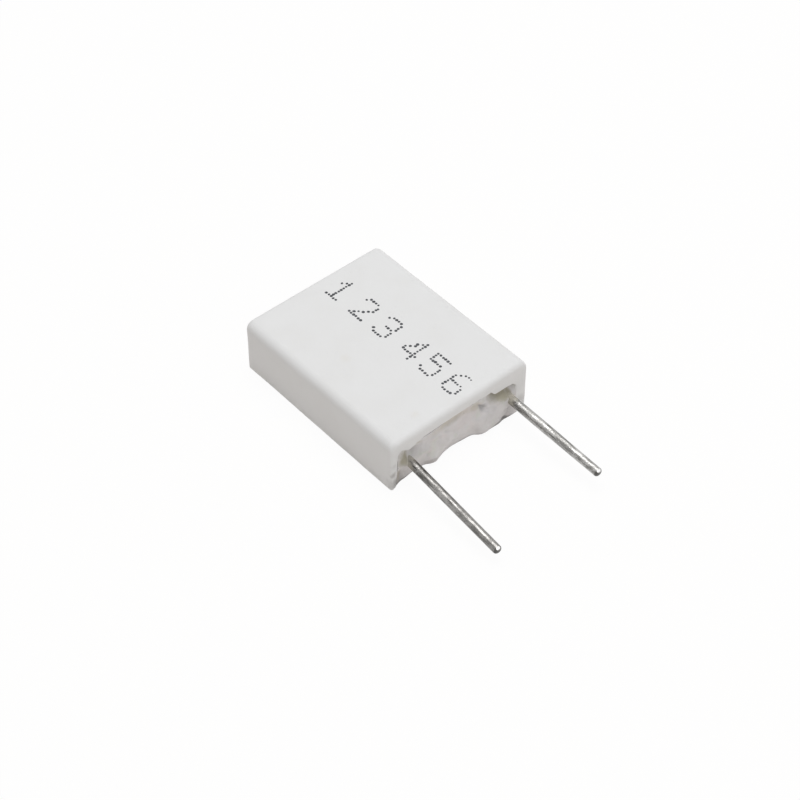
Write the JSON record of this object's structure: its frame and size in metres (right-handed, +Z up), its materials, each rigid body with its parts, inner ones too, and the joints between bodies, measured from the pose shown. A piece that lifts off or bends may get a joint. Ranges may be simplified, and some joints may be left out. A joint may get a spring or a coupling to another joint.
{
  "type": "cement resistor",
  "caption": "Flat power resistor: white ceramic case with one broad face and one end open, filled with cement, with round wire leads from the open end.",
  "frame": {"origin": "middle of the case's open broad face, which the part lies on", "axes": "+X along the leads and out of the open end, +Y to the right lead, +Z up through the closed broad face"},
  "size_m": [0.0279, 0.014, 0.005],
  "materials": {
    "case": "satin",
    "cement": "matte",
    "alloy": "satin",
    "lead": "satin"
  },
  "bodies": {
    "root": {"ceramic_case": "case", "cement_fill": "cement", "resistance_plate": "alloy", "lead_left": "lead", "lead_right": "lead"}
  },
  "joints": []
}
